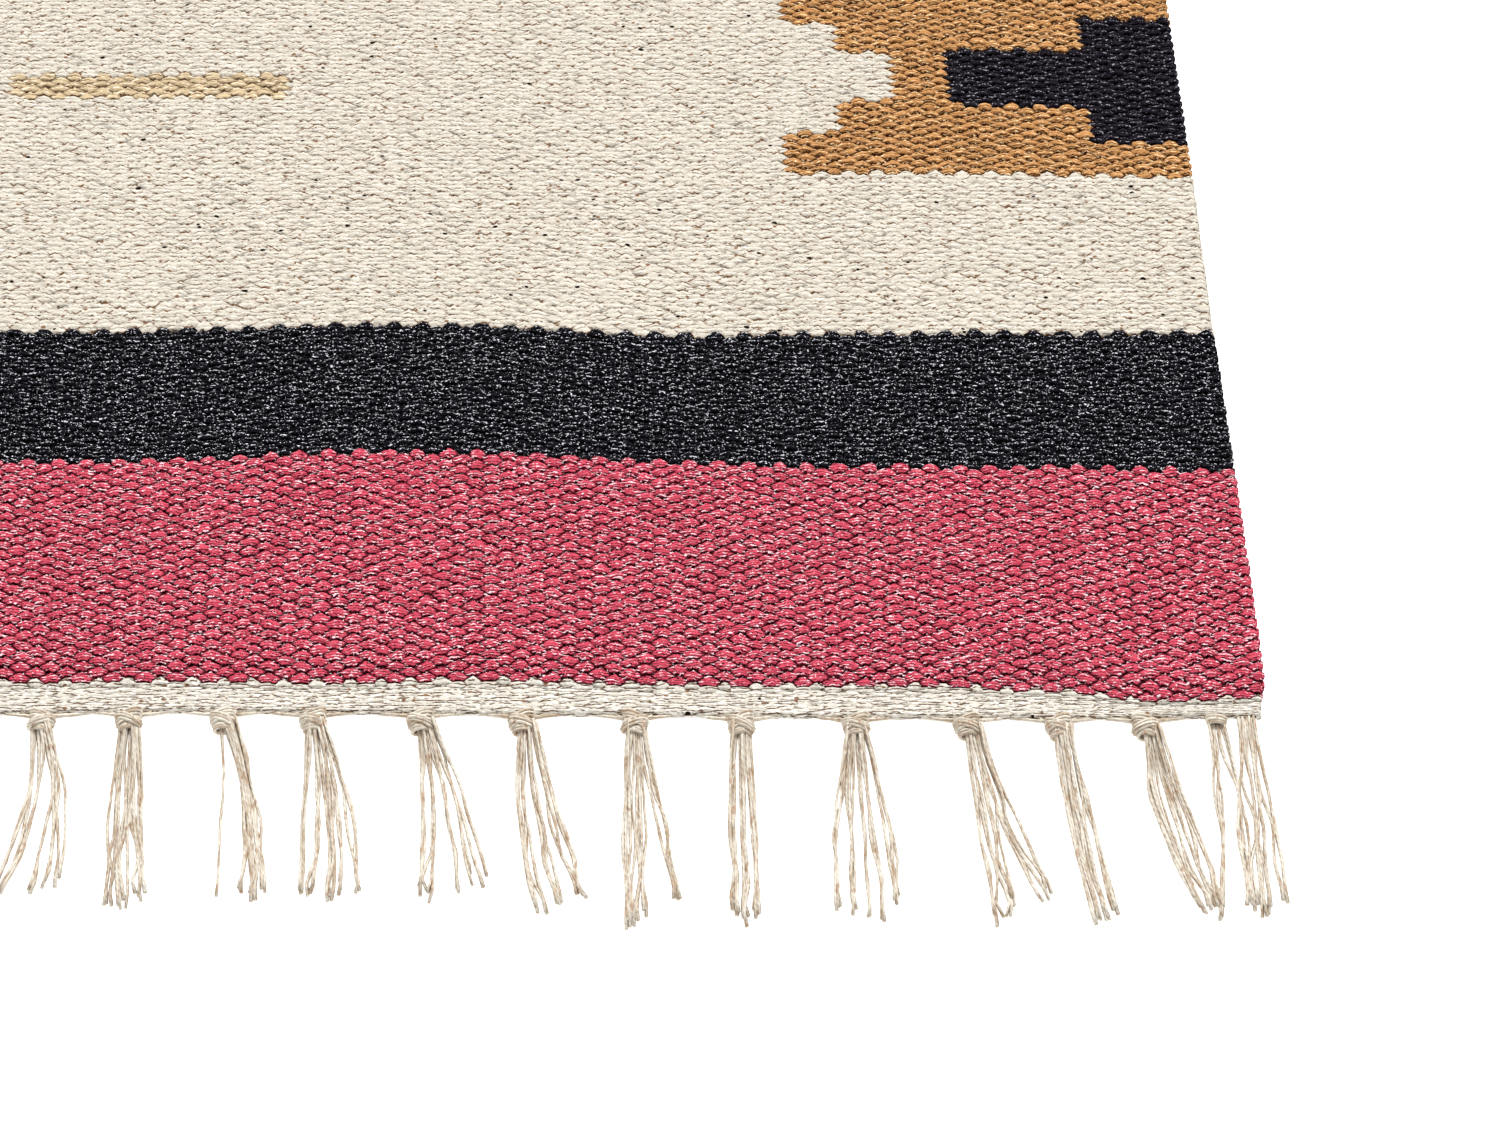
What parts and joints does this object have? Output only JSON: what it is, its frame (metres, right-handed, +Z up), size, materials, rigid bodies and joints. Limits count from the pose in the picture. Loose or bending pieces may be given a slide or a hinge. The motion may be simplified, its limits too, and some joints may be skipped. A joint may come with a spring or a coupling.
{
  "type": "kilim rug",
  "caption": "Small flat-woven kilim rug with plain colour bands at its ends, rows of stepped motifs, thin woven hems and knotted warp tassels along both ends.",
  "frame": {"origin": "on the floor, under the middle of the rug", "axes": "+X across the rug, selvedge to selvedge; +Y along its warps, from the front fringe to the back fringe; +Z up from the floor"},
  "size_m": [0.601, 1.0232, 0.0062],
  "materials": {
    "woven_cotton": "matte, coarse weft-faced weave",
    "warp_cotton": "matte, undyed plied cotton"
  },
  "bodies": {
    "root": {"rug_cloth": "woven_cotton", "tassel_front_right_01": "warp_cotton", "tassel_front_right_02": "warp_cotton", "tassel_front_right_03": "warp_cotton", "tassel_front_right_04": "warp_cotton", "tassel_front_right_05": "warp_cotton", "tassel_front_right_06": "warp_cotton", "tassel_front_right_07": "warp_cotton", "tassel_front_right_08": "warp_cotton", "tassel_front_right_09": "warp_cotton", "tassel_front_right_10": "warp_cotton", "tassel_front_right_11": "warp_cotton", "tassel_front_right_12": "warp_cotton", "tassel_front_left_01": "warp_cotton", "tassel_front_left_02": "warp_cotton", "tassel_front_left_03": "warp_cotton", "tassel_front_left_04": "warp_cotton", "tassel_front_left_05": "warp_cotton", "tassel_front_left_06": "warp_cotton", "tassel_front_left_07": "warp_cotton", "tassel_front_left_08": "warp_cotton", "tassel_front_left_09": "warp_cotton", "tassel_front_left_10": "warp_cotton", "tassel_front_left_11": "warp_cotton", "tassel_front_left_12": "warp_cotton", "tassel_back_right_01": "warp_cotton", "tassel_back_right_02": "warp_cotton", "tassel_back_right_03": "warp_cotton", "tassel_back_right_04": "warp_cotton", "tassel_back_right_05": "warp_cotton", "tassel_back_right_06": "warp_cotton", "tassel_back_right_07": "warp_cotton", "tassel_back_right_08": "warp_cotton", "tassel_back_right_09": "warp_cotton", "tassel_back_right_10": "warp_cotton", "tassel_back_right_11": "warp_cotton", "tassel_back_right_12": "warp_cotton", "tassel_back_left_01": "warp_cotton", "tassel_back_left_02": "warp_cotton", "tassel_back_left_03": "warp_cotton", "tassel_back_left_04": "warp_cotton", "tassel_back_left_05": "warp_cotton", "tassel_back_left_06": "warp_cotton", "tassel_back_left_07": "warp_cotton", "tassel_back_left_08": "warp_cotton", "tassel_back_left_09": "warp_cotton", "tassel_back_left_10": "warp_cotton", "tassel_back_left_11": "warp_cotton", "tassel_back_left_12": "warp_cotton"}
  },
  "joints": []
}
